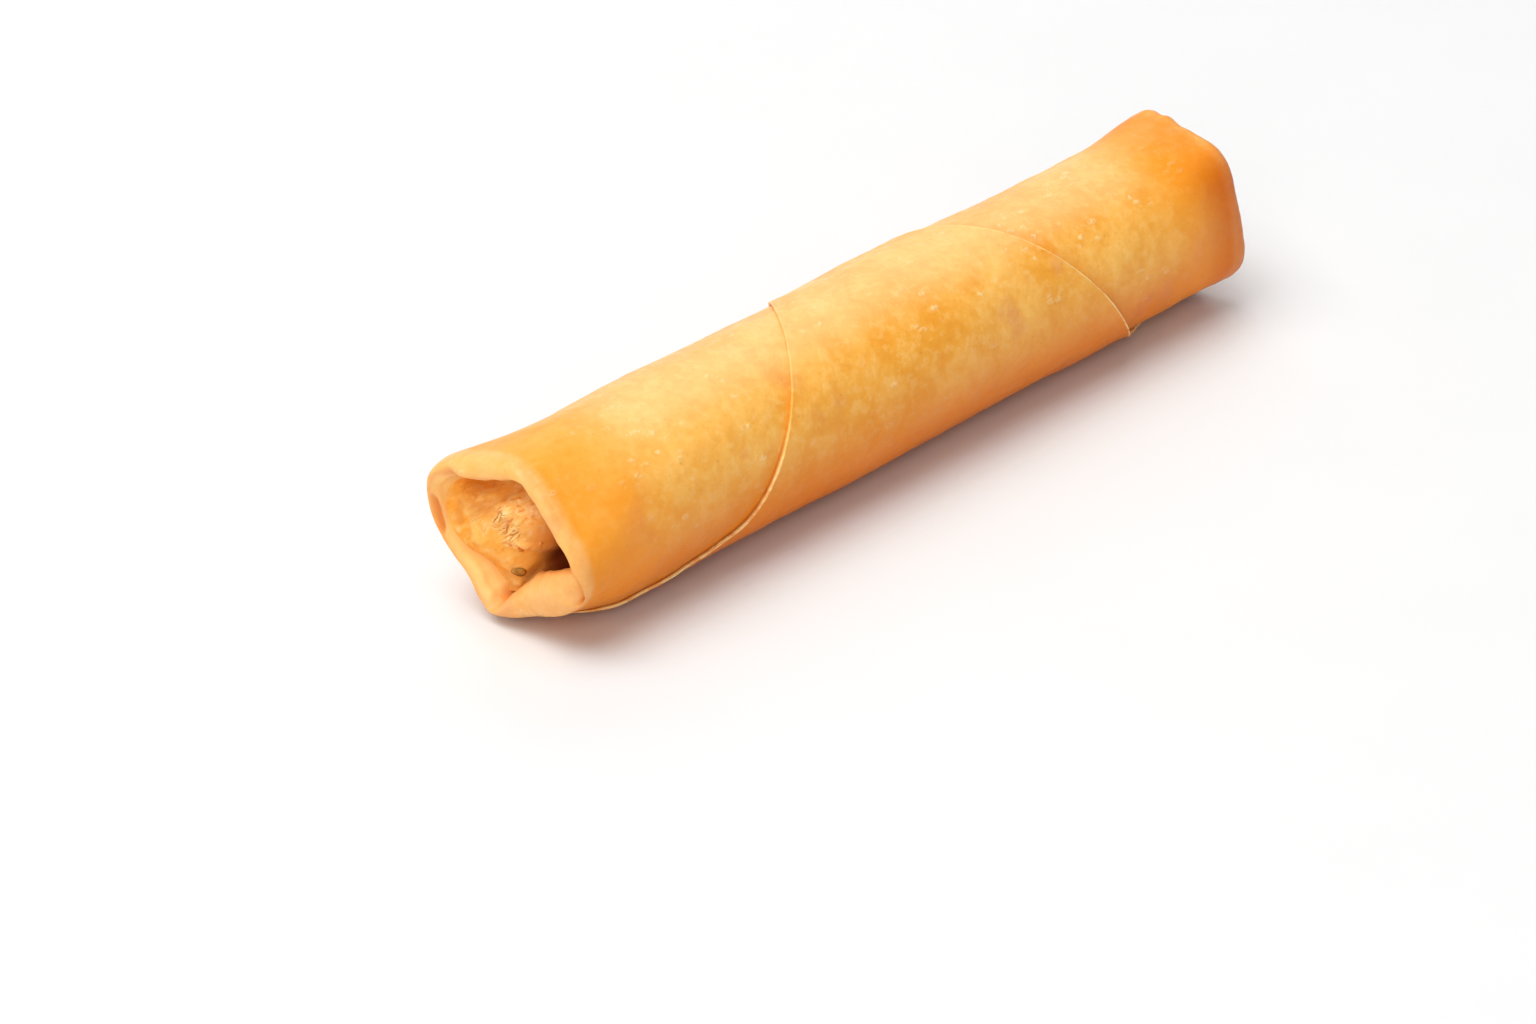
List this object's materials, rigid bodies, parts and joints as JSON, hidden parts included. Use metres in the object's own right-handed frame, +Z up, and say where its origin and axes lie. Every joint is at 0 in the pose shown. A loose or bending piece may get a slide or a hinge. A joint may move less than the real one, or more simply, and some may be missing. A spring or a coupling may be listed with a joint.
{
  "type": "fried spring roll",
  "caption": "Crisp fried wrapper rolled round a minced filling, with a slanting outer flap and folded open ends that show the filling.",
  "frame": {"origin": "bottom centre of the roll's box, on the surface it rests on", "axes": "+X along the roll, from its shown open end to its far end, +Z up"},
  "size_m": [0.1282, 0.025, 0.0244],
  "materials": {
    "wrapper": "golden fried pastry, satin with fine blisters, slightly glossy with oil",
    "filling": "moist minced meat and vegetables, lumpy and glistening"
  },
  "bodies": {
    "root": {"wrapper": "wrapper", "filling": "filling"}
  },
  "joints": []
}
